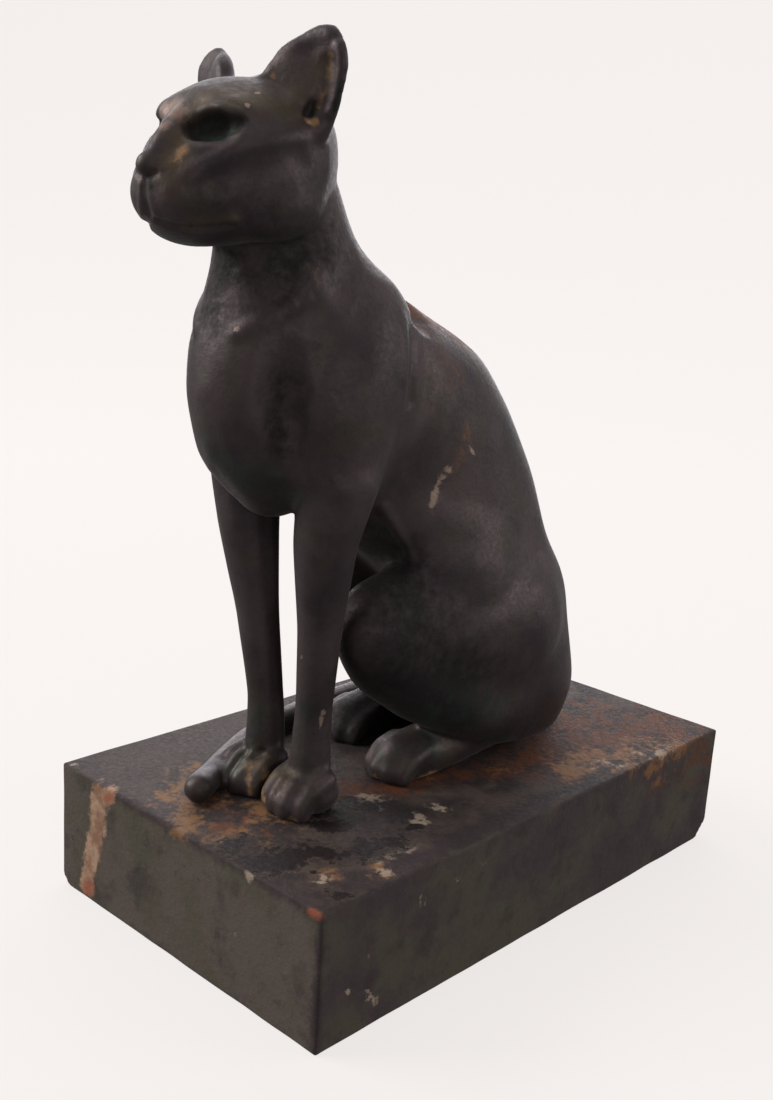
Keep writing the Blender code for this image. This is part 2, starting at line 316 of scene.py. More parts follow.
def distance_to(place, path):
    """Distance of each place to a path of points, in units."""
    path = np.atleast_2d(np.array(path, float))
    best = np.linalg.norm(place - path[0], axis=1)
    for start, end in zip(path, path[1:]):
        along = end - start
        share = np.clip((place - start) @ along / (along @ along), 0.0, 1.0)
        best = np.minimum(best, np.linalg.norm(place - start - share[:, None] * along, axis=1))
    return best


def carve(mesh, strokes, sides=BOTH_SIDES):
    """Press or raise the skin along each stroke, as written, mirrored or both."""
    for path, reach, lift in strokes:
        path = np.atleast_2d(np.array(path, float))
        # A stroke down the middle is made once for each side, so each makes its part of it.
        part = 1.0 if np.any(path[:, 0]) else 1 / len(sides)
        place = in_units(read_points(mesh))
        normals = read_normals(mesh)
        moved = np.zeros(len(place))
        for side in sides:
            turned = path * (side, 1.0, 1.0)
            inside = (place > turned.min(0) - reach) & (place < turned.max(0) + reach)
            near = np.all(inside, axis=1)
            if near.any():
                share = np.clip(distance_to(place[near], turned) / reach, 0.0, 1.0)
                moved[near] += lift * part * (1 - share ** 2) ** 2
        write_points(mesh, ORIGIN + (place + normals * moved[:, None]) * UNIT)


# %% [markdown]
# ## The face
# The eyes are dark hollows under thick lids. The cheekbone is a soft ridge from the muzzle to
# the ear, with a hollow under it. The nostrils, the groove under the nose and the mouth are
# thin cuts. Each stroke is as wide as the tool that would cut it.

# %% Eyes
EYES = [
    # the hollow of the near eye and its tail, then the hollow of the far eye
    ([(3.2, -47.8, 88.4), (5.2, -46.6, 88.7)], 2.0, -1.5),
    ([(5.2, -46.6, 88.8), (7.6, -45.4, 89.1)], 1.4, -0.8),
    ([(-5.6, -46.5, 88.3), (-7.6, -45.2, 88.8)], 1.6, -0.8),
]
LIDS = [
    # the upper and the lower lid of the near eye
    ([(3.3, -47.3, 90.5), (4.6, -46.8, 91.0), (6.2, -46.4, 90.8), (7.8, -45.3, 90.1)], 0.8, 0.2),
    ([(3.6, -49.0, 86.2), (4.9, -48.4, 86.0), (6.3, -47.1, 86.8), (7.6, -45.8, 88.0),
      (8.8, -44.4, 89.0)], 0.9, 0.15),
]
FAR_BROW = [
    # the far brow, and the dip between it and the nose
    ([(-4.6, -47.8, 89.2), (-3.4, -49.0, 88.6)], 2.2, 0.4),
    ([(-1.4, -50.2, 87.6), (-0.9, -51.6, 85.8)], 2.0, -0.3),
]
carve(cat_mesh, EYES + LIDS + FAR_BROW, sides=AS_WRITTEN)
print("eyes", len(EYES + LIDS + FAR_BROW), "strokes")

# %% Cheeks, nose and mouth
FACE = [
    # the ridge of the cheekbone, the hollow below it, and the flat of the cheek
    ([(4.9, -49.9, 83.3), (7.0, -47.4, 85.2), (8.9, -44.7, 87.1), (9.9, -40.5, 87.9),
      (10.2, -35.7, 89.2)], 1.8, 0.35),
    ([(6.7, -47.8, 82.8), (8.6, -45.8, 83.8), (9.9, -42.3, 85.0), (10.3, -38.4, 85.6)], 2.4, -0.45),
    ([(9.5, -43.0, 81.6)], 5.0, -0.5),
    # the whisker pad, the tip of the nose, and the nostril
    ([(3.4, -50.3, 80.9)], 3.2, 0.4),
    ([(0.0, -52.6, 84.3)], 1.6, 0.5),
    ([(0.9, -52.8, 82.9), (1.7, -52.2, 83.2)], 0.8, -0.55),
    # the groove under the nose, and the edge of the lip beside it
    ([(0.0, -53.0, 82.4), (0.0, -52.9, 80.2), (0.0, -52.2, 78.4)], 0.9, -0.5),
    ([(0.9, -52.9, 81.6), (1.1, -52.5, 79.9), (1.5, -51.6, 78.6)], 0.8, 0.2),
    # the mouth in two cuts, and the small swelling over its corner
    ([(1.2, -51.5, 78.0), (2.6, -50.4, 77.6), (4.3, -48.9, 77.3)], 0.9, -0.35),
    ([(4.3, -48.9, 77.3), (6.0, -47.1, 77.6), (7.2, -45.7, 77.9)], 0.8, -0.25),
    ([(7.4, -45.6, 78.6)], 0.9, 0.25),
]
carve(cat_mesh, FACE)
print("face", len(FACE), "strokes")

# %% [markdown]
# ## The ears
# An ear is a thin leaf with a full inner side, a groove that runs down to a pit, and a raised
# rim. The photograph shows the inside of the near ear well, so that one has strokes of its own.

# %% Ears
INNER_EARS = [([(6.6, -37.2, 96.8), (7.9, -36.9, 94.7), (8.6, -36.8, 92.8)], 3.2, 0.55)]
NEAR_EAR = [
    # the groove, the pit at its foot, and the outer rim
    ([(10.6, -35.9, 92.4), (11.2, -35.9, 94.2), (11.4, -35.8, 96.6)], 1.5, -0.5),
    ([(9.3, -36.6, 90.9), (9.7, -36.4, 91.9)], 0.85, -0.9),
    ([(11.8, -35.0, 91.2), (12.9, -34.9, 93.4), (13.1, -34.9, 96.3),
      (12.4, -35.3, 98.4)], 1.1, 0.25),
    # the upper edge, and the inner fold where the ear meets the crown
    ([(5.0, -36.5, 97.6), (7.2, -35.9, 99.0), (9.2, -35.4, 99.9), (10.6, -35.2, 99.9)], 2.0, 0.4),
    ([(1.4, -37.2, 92.2), (2.4, -37.0, 94.0), (3.6, -36.8, 95.8)], 2.4, 0.7),
]
carve(cat_mesh, INNER_EARS)
carve(cat_mesh, NEAR_EAR, sides=AS_WRITTEN)
print("ears", len(INNER_EARS + NEAR_EAR), "strokes")

# %% [markdown]
# ## The body
# A short coat over firm muscle shows only soft edges: the collar of the breast, the furrow
# down its side, the groove behind the shoulder, and the rise of the haunch. Wide, shallow
# strokes of about a millimetre at most let the light roll over them. The toes are narrower.

# %% Breast, shoulder and flank
BODY = [
    # the collar, the side of the neck above it, and the groove behind that
    ([(3.7, -41.6, 65.5), (5.5, -40.3, 66.6), (7.1, -38.5, 67.8), (8.7, -35.6, 69.9)], 1.8, 0.35),
    ([(8.6, -34.6, 72.6), (9.2, -33.0, 70.8)], 2.8, 0.3),
    ([(8.6, -28.6, 74.4), (9.8, -30.5, 71.7), (10.1, -32.4, 69.7), (9.8, -34.6, 67.6)], 3.0, -0.4),
    # the furrow down the breast
    ([(9.8, -36.3, 63.3), (9.1, -36.6, 60.4), (8.3, -36.8, 57.2), (7.7, -36.8, 54.0),
      (7.2, -36.4, 50.5)], 3.2, -0.45),
    # the groove behind the shoulder, and the edge in front of it
    ([(6.7, -14.5, 68.6), (11.2, -18.8, 66.3), (12.3, -19.6, 63.8), (13.0, -20.3, 60.8),
      (12.9, -20.0, 57.5)], 1.6, -0.35),
    ([(10.6, -20.8, 67.2), (12.4, -21.6, 64.2), (13.1, -22.4, 60.8)], 2.0, 0.25),
    # the fold at the foot of the breast, and the edge of the flank
    ([(-0.5, -42.4, 51.3), (1.1, -41.4, 49.0), (2.0, -39.7, 47.1), (1.6, -37.5, 44.8)], 1.8, 0.12),
    ([(9.0, -19.6, 42.6), (9.2, -16.8, 39.0), (9.4, -14.0, 34.6)], 1.4, 0.45),
    # the top of the thigh, the hollow under it, and the thin ridge between them
    ([(11.4, -12.6, 33.0), (13.6, -7.2, 32.6), (14.6, -1.4, 31.6)], 5.0, 0.45),
    ([(13.3, 10.4, 31.7), (14.6, 5.7, 30.0), (15.4, 1.0, 28.0), (14.8, -9.0, 25.2)], 3.0, -0.25),
    ([(12.4, -9.0, 30.4), (13.4, -4.0, 29.8), (14.0, 1.0, 29.6)], 1.6, 0.2),
]
carve(cat_mesh, BODY)
print("body", len(BODY), "strokes")

# %% Toes
TOES = [
    # three grooves in the far forepaw, then two low ridges on the near one
    ([(-2.9, -29.0, 5.6), (-3.9, -31.4, 4.2), (-4.0, -32.6, 2.0)], 0.9, -0.4),
    ([(-5.0, -29.0, 6.0), (-5.1, -31.6, 4.4), (-5.1, -33.0, 2.0)], 0.9, -0.4),
    ([(-7.0, -28.6, 5.6), (-7.2, -30.9, 4.2), (-7.3, -32.0, 2.0)], 0.9, -0.4),
    ([(3.9, -31.2, 4.6), (3.9, -32.6, 2.2)], 1.0, 0.15),
    ([(6.1, -31.2, 4.6), (6.1, -32.6, 2.2)], 1.0, 0.15),
]
carve(cat_mesh, TOES, sides=AS_WRITTEN)
print("toes", len(TOES), "strokes")

# %% [markdown]
# ## Thinning
# The even skin has more faces than its smooth stretches need. Collapsing edges takes faces
# away where that changes the form least, so the fine cuts keep theirs.

# %% Thin the skin where it is smooth
CASTING_TRIANGLES = 180_000
carved = bmesh.new()
carved.from_mesh(cat_mesh)
ratio = CASTING_TRIANGLES / (2 * len(carved.faces))  # a face of the skin is two triangles
cat_mesh = mesh_from("cat_casting", carved, [("DECIMATE", {"ratio": ratio})])
print("casting", sum(len(face.vertices) - 2 for face in cat_mesh.polygons), "triangles")

# %% [markdown]
# ## Where the surface has changed, and where shade is painted
# Two thousand years in the ground, or an honest imitation of them, leave dust in the hollows,
# green where water stood, red where iron lay against the metal, and bare spots where it was
# rubbed. Painted shade lies over the broad places that are in shadow, and darker painted shade
# in the deep hollows. Each is a field on the casting: it is strong at the middle of the place
# and fades to its edge. The material breaks that edge up with noise.

# %% Fields for the stains
def stain(mesh, name, patches, place):
    """Store how strongly each point is stained: patches are a path, a reach and a strength."""
    total = np.zeros(len(place))
    for path, reach, strength in patches:
        total = np.maximum(total, strength * (1.0 - distance_to(place, path) / reach))
    field = mesh.attributes.new(name, "FLOAT", "POINT")
    field.data.foreach_set("value", np.clip(total, 0.0, 1.0))
    print(name, "on", round(float(np.mean(total > 0)) * 100, 1), "% of the points")


skin_place = in_units(read_points(cat_mesh))
print("room for stains on", len(skin_place), "points")

# %% Dust on the casting
stain(cat_mesh, "ochre_dust", [
    ([(3.4, -49.9, 85.9), (3.3, -50.6, 85.0)], 1.1, 0.6),
    ([(11.5, -35.5, 97.4), (11.0, -35.7, 93.8), (10.3, -35.9, 91.9)], 0.8, 0.55),
    ([(9.2, -36.8, 90.2), (10.2, -36.2, 90.2)], 0.8, 0.9),
    ([(5.3, -38.3, 94.8)], 0.8, 0.8),
    ([(-2.5, -31.5, 3.8), (-1.2, -32.5, 0.7)], 1.4, 0.45),
    ([(-0.6, -30.2, 3.3), (1.9, -32.6, 1.4)], 1.4, 0.7),
    ([(3.0, -31.4, 0.2), (8.0, -32.0, 0.2)], 1.4, 0.7),
    ([(5.4, -13.8, 0.2), (12.0, -4.0, 0.2), (14.0, 4.0, 0.2)], 1.4, 0.9),
    ([(-6.0, -40.0, 0.5), (-9.0, -33.0, 0.5)], 1.4, 0.7),
], skin_place)
stain(cat_mesh, "olive_dust", [
    ([(2.6, -49.4, 88.0), (2.9, -50.8, 84.6), (3.4, -51.0, 82.6)], 3.4, 0.9),
    ([(1.8, -47.6, 91.0), (4.0, -45.6, 92.6), (7.4, -43.6, 92.4), (8.6, -38.5, 91.4)], 4.4, 0.8),
    ([(8.0, -37.4, 93.0), (10.6, -36.0, 96.0)], 3.4, 0.8),
    ([(4.0, -49.4, 78.0), (7.4, -45.6, 79.0)], 2.0, 0.8),
    ([(-4.0, -31.0, 5.0), (4.0, -31.0, 5.0)], 5.0, 0.8),
    ([(4.0, -10.0, 3.0), (10.0, -4.0, 3.0)], 4.0, 0.8),
    ([(-5.0, -28.0, 8.0), (-5.0, -28.5, 16.0)], 3.0, 0.7),
], skin_place)

# %% Green and red on the casting
stain(cat_mesh, "verdigris", [
    ([(3.4, -46.6, 87.2), (4.6, -45.9, 87.4), (6.2, -45.3, 88.0)], 1.7, 1.0),
    ([(0.0, -42.0, 50.0), (5.0, -38.0, 46.0)], 6.0, 0.6),
    ([(4.0, -33.0, 46.0), (9.0, -30.0, 44.0)], 5.0, 0.6),
    ([(-5.0, -32.0, 3.0), (-4.0, -30.0, 12.0)], 4.0, 0.6),
    ([(4.8, -28.0, 6.0), (5.4, -29.0, 16.0)], 4.0, 0.5),
    ([(6.0, -12.0, 3.0), (9.0, -6.0, 4.0), (11.0, -10.0, 12.0)], 5.0, 0.6),
    ([(9.0, -12.0, 14.0), (14.0, 2.0, 10.0)], 8.0, 0.5),
], skin_place)
stain(cat_mesh, "rust", [
    ([(0.6, -48.7, 90.1), (1.6, -48.8, 89.2)], 1.1, 0.55),
    ([(5.0, -14.0, 68.0), (5.0, -7.4, 66.0), (5.0, -2.4, 63.7)], 6.0, 0.6),
    ([(8.0, -14.0, 66.0), (10.6, -10.0, 60.0)], 5.0, 0.4),
    ([(12.0, -7.0, 52.0), (12.2, -9.0, 48.0)], 2.6, 0.6),
], skin_place)

# %% Bare and worn metal
stain(cat_mesh, "bare", [
    ([(12.1, -10.4, 47.6), (11.9, -11.8, 46.0), (11.8, -12.7, 44.0),
      (11.8, -13.2, 42.6)], 1.2, 0.75),
    ([(12.2, -6.1, 49.7)], 0.9, 0.8),
    ([(6.9, -42.1, 92.6)], 0.5, 0.9),
    ([(7.8, -44.4, 91.1)], 0.5, 0.9),
    ([(7.8, -43.5, 91.4)], 0.5, 0.9),
    ([(9.6, -36.6, 90.0)], 0.5, 0.9),
    ([(5.8, -30.3, 22.7)], 0.8, 0.9),
    ([(3.8, -41.4, 65.9)], 1.0, 0.8),
    ([(7.4, -27.8, 12.0), (7.4, -27.6, 15.0)], 0.8, 0.65),
], skin_place)
stain(cat_mesh, "worn", [
    ([(-4.2, -47.0, 90.4), (-1.6, -47.3, 90.9), (0.4, -48.4, 90.1)], 2.4, 1.0),
    ([(0.6, -50.1, 88.6)], 1.4, 0.8),
    ([(12.1, -10.4, 47.6), (11.8, -13.2, 42.6)], 2.2, 0.5),
    ([(8.4, -33.6, 73.0), (9.0, -32.8, 71.6)], 2.6, 0.4),
], skin_place)

# %% Painted shade, broad and in the deep hollows
# Painted shade: a dark tone laid where the cat is in shadow, on the neck under the chin and jaw, in
# the breast furrow, over the front and foot of the haunch, in the groin, by the near forepaw, round
# the far hind foot and under the whisker pad, and a little over the top of the head.
stain(cat_mesh, "painted_shade", [
    ([(7.0, -37.0, 74.0), (9.0, -33.0, 76.0)], 7.0, 0.8),
    ([(2.0, -40.0, 72.0), (7.0, -37.0, 70.0)], 5.0, 0.7),
    ([(8.5, -38.0, 60.0), (7.6, -37.6, 52.0)], 4.0, 0.8),
    ([(10.0, -16.0, 28.0), (10.0, -14.0, 20.0), (12.0, -7.0, 16.0)], 12.0, 1.0),
    ([(-2.0, -42.0, 69.0), (-1.0, -41.5, 74.0)], 8.0, 1.0),
    ([(0.0, -44.0, 93.0), (4.0, -40.0, 93.5)], 7.0, 0.5),
    ([(5.0, -30.0, 5.0), (7.0, -31.0, 3.0)], 5.0, 0.7),
    ([(12.2, -17.6, 18.5), (13.0, -10.0, 14.0), (13.5, -4.0, 10.0)], 9.0, 1.0),
    ([(7.0, -17.0, 36.0), (9.0, -14.0, 33.0)], 5.0, 0.9),
    ([(-8.0, -12.0, 3.0), (-8.0, -4.0, 5.0), (-8.0, 4.0, 6.0)], 10.0, 1.0),
    ([(7.0, -40.0, 78.0), (9.0, -42.0, 80.0)], 5.0, 0.6),
    ([(5.0, -48.0, 80.4), (6.0, -47.0, 79.6)], 3.0, 0.7),
    ([(12.0, 4.0, 6.0), (13.0, 10.0, 4.0)], 6.0, 0.7),
], skin_place)
# Darker painted shade in the deep hollows: in the groin under the belly, in the eye pits, the
# nostril, the pit and outer rim of the near ear, and along the foot of the near forepaw.
stain(cat_mesh, "painted_deep_shade", [
    ([(6.0, -19.5, 34.0), (8.4, -17.8, 33.0)], 4.5, 0.7),
    ([(7.2, -19.0, 39.0), (8.0, -17.2, 36.0)], 3.5, 0.6),
    ([(2.6, -47.2, 88.6), (4.4, -46.1, 88.9)], 3.1, 1.0),
    ([(5.4, -45.8, 89.0), (7.2, -44.8, 89.2)], 1.8, 0.85),
    ([(-4.8, -46.8, 88.4), (-6.0, -45.8, 88.8)], 2.4, 1.0),
    ([(-6.0, -45.8, 88.8), (-7.6, -44.8, 89.2)], 1.8, 0.85),
    ([(0.9, -52.9, 82.6), (1.2, -52.6, 82.0), (0.2, -52.9, 80.8)], 1.0, 0.8),
    ([(9.3, -36.2, 91.0), (9.7, -36.0, 91.9)], 1.1, 1.0),
    ([(12.2, -35.0, 91.6), (13.1, -34.9, 94.0)], 1.2, 0.7),
    ([(4.0, -33.2, 0.3), (7.6, -32.4, 0.3)], 1.2, 0.6),
], skin_place)
print("fields", [item.name for item in cat_mesh.attributes if item.data_type == "FLOAT"])

# %% [markdown]
# ## Patinated bronze
# Bronze, an alloy of copper and tin, cast by the lost-wax method. Its surface was coloured by
# chemicals and heat, then waxed: a thin dark oxide over metal, so it reflects like metal with
# a dark tint, in a soft sheen, and it is lighter where it was handled. Its tone drifts in
# clouds of three sizes, and its pitted grain is about 1.5 mm across. Ochre dust, rust and the
# darker painted shade are made dull and hardly metal, so their masks colour them, roughen them
# and take the metal away. The broad painted shade is made a little rougher too.

# %% Mottled and stained surfaces
SMOOTH = {"interpolation_type": "SMOOTHSTEP"}
COLOURS = {"data_type": "RGBA"}
PRODUCT = {"operation": "MULTIPLY"}
WEIGHTED_SUM = {"operation": "MULTIPLY_ADD"}
CLAMPED_SUM = {"operation": "ADD", "use_clamp": True}
RAGGED = 1.3  # how far noise moves the edge of a stain
RIM = 0.12  # the weakest part of a field, where its stain fades to nothing
NOISE_LOW, NOISE_HIGH = 0.3, 0.7  # noise seldom leaves this range


def noise_patterns(tree, spot, table):
    """Noise by name, from a table of sizes in millimetres, details and roughnesses."""
    made = {}
    for name, (size, detail, roughness) in table.items():
        made[name] = add_node(tree, "TexNoise", {}, {
            "Vector": spot, "Scale": 1 / (size * MM), "Detail": detail, "Roughness": roughness,
        }).outputs["Fac"]
    return made


def mottle(tree, tone, pattern, low, high, most, code):
    """Lay a colour over a tone where a pattern is high: none below low, most above high."""
    share = add_node(tree, "MapRange", SMOOTH, {
        "Value": pattern, "From Min": low, "From Max": high, "To Max": most,
    }).outputs[0]
    return add_node(tree, "Mix", COLOURS, {0: share, 6: tone, 7: ink(code)}).outputs[2]


def broken_field(tree, name, edge, threshold, softness):
    """A stain's field from 0 to 1, with its edge broken up by noise."""
    field = add_node(tree, "Attribute", {"attribute_name": name}, {}).outputs["Fac"]
    ragged = add_node(
        tree, "Math", WEIGHTED_SUM, {0: edge, 1: RAGGED, 2: -RAGGED / 2}
    ).outputs[0]
    summed = add_node(tree, "Math", {"operation": "ADD"}, {0: field, 1: ragged}).outputs[0]
    inside = add_node(tree, "MapRange", SMOOTH, {"Value": field, "From Max": RIM}).outputs[0]
    mask = add_node(tree, "MapRange", SMOOTH, {
        "Value": summed, "From Min": threshold - softness, "From Max": threshold + softness,
    }).outputs[0]
    return add_node(tree, "Math", PRODUCT, {0: mask, 1: inside}).outputs[0]


# %% Colours of the bronze
BRONZE_PATTERNS = {
    # size in mm, detail, roughness
    "grain": (1.5, 4.0, 0.6),
    "edge": (4.0, 6.0, 0.65),
    "broad": (26.0, 5.0, 0.6),
    "middling": (11.0, 6.0, 0.6),
    "small": (3.0, 6.0, 0.7),
}
BRONZE_STAINS = [
    # name, colour, threshold, softness
    # painted shade over the broad places in shadow
    ("painted_shade", "#171417", 0.55, 0.5),
    # darker painted shade in the deep hollows
    ("painted_deep_shade", "#090a0a", 0.36, 0.3),
    ("olive_dust", "#4a3f31", 0.6, 0.5),
    ("verdigris", "#30403a", 0.55, 0.45),
    ("worn", "#6f5f58", 0.47, 0.25),
    ("rust", "#6e4835", 0.45, 0.3),
    ("ochre_dust", "#8a6a47", 0.45, 0.3),
    ("bare", "#8f7d72", 0.42, 0.12),
]
bronze, tree = new_material("bronze_lost_wax_cast_dark_patina")
spot = add_node(tree, "TexCoord", {}, {}).outputs["Object"]
pattern = noise_patterns(tree, spot, BRONZE_PATTERNS)
tone = mottle(tree, ink("#332b2f"), pattern["broad"], 0.33, 0.67, 1.0, "#4c4142")
tone = mottle(tree, tone, pattern["middling"], 0.48, 0.68, 0.55, "#39382d")
tone = mottle(tree, tone, pattern["small"], 0.55, 0.75, 0.35, "#1d181c")
masks = {}
for name, code, threshold, softness in BRONZE_STAINS:
    masks[name] = broken_field(tree, name, pattern["edge"], threshold, softness)
    tone = add_node(tree, "Mix", COLOURS, {0: masks[name], 6: tone, 7: ink(code)}).outputs[2]
print("bronze stains", list(masks))

# %% Sheen and grain of the bronze
WAXED_ROUGHNESS = (0.44, 0.58)
DUST_ROUGHNESS = 0.3
# how much rougher the broad painted shade leaves the metal
PAINTED_SHADE_ROUGHNESS = 0.2
METAL_UNDER_OXIDE = 0.6
METAL_UNDER_DUST = 0.05
EDGE_HEIGHT = 1.5
CASTING_GRAIN = 0.16 * MM
dusty = add_node(
    tree, "Math", CLAMPED_SUM, {0: masks["rust"], 1: masks["ochre_dust"]}
).outputs[0]
dull = add_node(tree, "Math", CLAMPED_SUM, {0: dusty, 1: masks["painted_deep_shade"]}).outputs[0]
rough = add_node(tree, "MapRange", SMOOTH, {
    "Value": pattern["grain"],
    "From Min": NOISE_LOW,
    "From Max": NOISE_HIGH,
    "To Min": WAXED_ROUGHNESS[0],
    "To Max": WAXED_ROUGHNESS[1],
}).outputs[0]
for mask, weight in ((dull, DUST_ROUGHNESS), (masks["painted_shade"], PAINTED_SHADE_ROUGHNESS)):
    rough = add_node(tree, "Math", WEIGHTED_SUM, {0: mask, 1: weight, 2: rough}).outputs[0]
metal = add_node(tree, "MapRange", SMOOTH, {
    "Value": dull, "To Min": METAL_UNDER_OXIDE, "To Max": METAL_UNDER_DUST,
}).outputs[0]
height = add_node(
    tree, "Math", WEIGHTED_SUM, {0: pattern["edge"], 1: EDGE_HEIGHT, 2: pattern["grain"]}
).outputs[0]
bump = add_node(tree, "Bump", {}, {"Strength": 0.6, "Distance": CASTING_GRAIN, "Height": height})
shader = add_node(tree, "BsdfPrincipled", {}, {
    "Base Color": tone,
    "Metallic": metal,
    "Roughness": rough,
    "Normal": bump.outputs[0],
    "Sheen Weight": 0.06,
    "Sheen Roughness": 0.4,
})
add_node(tree, "OutputMaterial", {}, {"Surface": shader.outputs[0]})
print("bronze", len(tree.nodes), "nodes")

# %% Set the casting in place
cat_mesh.shade_smooth()
cat_mesh.materials.clear()
cat_mesh.materials.append(bronze)
casting = bpy.data.objects.new("cat_casting", cat_mesh)
bpy.context.scene.collection.objects.link(casting)
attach(casting, "root")
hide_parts("cat")
print("casting", np.ptp(read_points(cat_mesh), axis=0).round(4), "m")

# %% [markdown]
# ## The block
# A plain board of wood, sawn, planed and stained dark, and much knocked about since. Its
# edges are rubbed round, two lower corners are worn away, a chip shows the bare wood, and the
# top carries the remains of a black crust. A grid of small faces over a box can be rubbed and
# worn point by point, and it holds the stains. Two more rows beside each edge let its round
# be smooth.

# %% Block as a fine grid
BLOCK_GRAIN = 1.5 * MM
EDGE_ROWS = (0.35 * MM, 0.9 * MM)
block_bm = bmesh.new()
bmesh.ops.create_cube(block_bm, size=1.0)
size = block_high - block_low
bmesh.ops.scale(block_bm, vec=size, verts=block_bm.verts)
bmesh.ops.translate(block_bm, vec=(block_low + block_high) / 2, verts=block_bm.verts)
for axis in range(3):
    along = [
        edge for edge in block_bm.edges
        if abs((edge.verts[0].co - edge.verts[1].co)[axis]) > MM
    ]
    cuts = round(size[axis] / BLOCK_GRAIN)
    bmesh.ops.subdivide_edges(block_bm, edges=along, cuts=cuts, use_grid_fill=True)
for axis in range(3):
    for row in EDGE_ROWS:
        for level, side in ((block_low[axis] + row, 1), (block_high[axis] - row, -1)):
            middle = Vector((0.0, 0.0, 0.0))
            middle[axis] = level
            normal = Vector((0.0, 0.0, 0.0))
            normal[axis] = side
            whole = block_bm.verts[:] + block_bm.edges[:] + block_bm.faces[:]
            bmesh.ops.bisect_plane(block_bm, geom=whole, plane_co=middle, plane_no=normal)
block_mesh = mesh_from("worn_block", block_bm)
print("block", sum(len(face.vertices) - 2 for face in block_mesh.polygons), "triangles")

# %% [markdown]
# ## Wear
# Hands and shelves rub an edge round, in some places more than in others, and knocks wear a
# corner away. Each point near an edge is drawn back to a round whose radius drifts along it,
# and each point outside a slanting plane across a lower corner is pressed back to that plane.

# %% Rub the edges round and wear the corners away
EDGE_RADIUS = 0.9  # in mm
EDGE_DRIFT = 0.5  # in mm
EDGE_LEAST = 0.4 * MM
EDGE_MOST = 2.0 * MM
DRIFT_SIZE = 14 * MM
NOISE_SHIFT = Vector((7.13, 3.71, 5.37))
WORN_CORNERS = ((7 * MM, 1, 1), (4 * MM, -1, -1))
TINY = 1e-9


def noise_at(points, size):
    """Smooth noise from -1 to 1 at each point, with features of the given size in metres."""
    return np.array([noise.noise(Vector(point) / size + NOISE_SHIFT) for point in points])


points = read_points(block_mesh)
low, high = np.array(block_low), np.array(block_high)
radius = (EDGE_RADIUS + EDGE_DRIFT * noise_at(points, DRIFT_SIZE)) * MM
radius = np.clip(radius, EDGE_LEAST, EDGE_MOST)[:, None]
core = np.clip(points, low + radius, high - radius)
away = points - core
length = np.linalg.norm(away, axis=1, keepdims=True)
points = np.where(length > radius, core + away / np.maximum(length, TINY) * radius, points)
for worn, side_x, side_y in WORN_CORNERS:
    lean = high[0] - side_x * points[:, 0] + high[1] - side_y * points[:, 1] + points[:, 2]
    over = np.clip(worn - lean, 0.0, None) / 3
    points += over[:, None] * np.array([-side_x, -side_y, 1.0])
write_points(block_mesh, points)
least, most = (round(float(value / MM), 1) for value in (radius.min(), radius.max()))
print("edges rubbed to a radius of", least, "to", most, "mm")

# %% [markdown]
# ## Where the block has changed
# The stains of the block are fields too, placed in millimetres on its top, its front and its
# left side: the black crust, a grey bloom that is also painted light over the half of the top
# on the cat's right, a chip down the front with red filler at its ends, mauve edges, ochre
# dust, rust and pale flecks. Two more fields mark the top, which has a tone of its own, and
# the front, which is given a lighter tone as painted light, as if lit more than the sides.

# %% Places on the block
TOP = BLOCK_TOP / MM
FRONT = block_low.y / MM
SIDE = block_high.x / MM


def on_top(*spots):
    """Places on the top, from x and y in millimetres."""
    return [(x, y, TOP) for x, y in spots]


def on_front(*spots):
    """Places on the front, from x and z in millimetres."""
    return [(x, FRONT, z) for x, z in spots]


def on_side(*spots):
    """Places on the left side, from y and z in millimetres."""
    return [(SIDE, y, z) for y, z in spots]


block_place = read_points(block_mesh) / MM
print("top, front and side at", round(TOP, 1), round(FRONT, 1), round(SIDE, 1), "mm")

# %% Crust, bloom and painted light of the top
stain(block_mesh, "crust", [
    (on_top((19, -102), (19, -95)), 7.0, 0.9),
    (on_top((22, -104), (30, -103), (35, -98)), 10.0, 1.0),
    (on_top((35, -98), (38, -90), (36, -84), (30, -89)), 10.0, 1.0),
    (on_top((39, -84), (45, -76), (46, -67), (46, -60)), 9.0, 1.0),
    (on_top((21, -66), (24, -60), (29, -66), (26, -70)), 9.0, 0.95),
    (on_top((18, -58), (20, -52)), 6.0, 0.7),
    (on_top((58, -96), (61, -95)), 3.5, 1.0),
    (on_top((40, -50), (43, -54), (46, -48)), 3.5, 0.7),
], block_place)
# A grey bloom, and over the half of the top on the cat's right a painted pool of light.
stain(block_mesh, "grey_bloom_and_painted_light", [
    (on_top((-50, -90), (-50, -20), (-50, 90)), 40.0, 0.9),
    (on_top((-40, -95), (-20, -100)), 20.0, 0.8),
    (on_top((50, 10), (52, 40)), 14.0, 0.6),
], block_place)

# %% Chip, filler and mauve edges
stain(block_mesh, "chip", [
    (on_front((-37, 43), (-41, 40)), 6.0, 0.8),
    (on_front((-43, 41), (-44, 28), (-46, 20)), 7.0, 1.0),
    (on_front((-47, 19), (-49, 10), (-50, 5)), 6.0, 1.0),
], block_place)
stain(block_mesh, "red_filler", [
    (on_front((-48, 6), (-50, 3)), 5.0, 0.9),
    (on_front((-36, 43), (-39, 41)), 4.0, 0.8),
    (on_front((60, 44), (64, 44)), 3.0, 0.7),
], block_place)
stain(block_mesh, "mauve", [
    (on_top((33, -57), (38, -63), (41, -69)), 8.0, 0.9),
    (on_front((-40, 45), (0, 45), (62, 45)), 5.0, 0.8),
    (on_top((58, -90), (60, -60), (59, -20), (60, 20)), 6.0, 0.75),
    (on_front((64, 0), (64, 45)), 3.0, 0.8),
    (on_top((20, 60), (30, 62), (38, 64)), 6.0, 0.6),
], block_place)

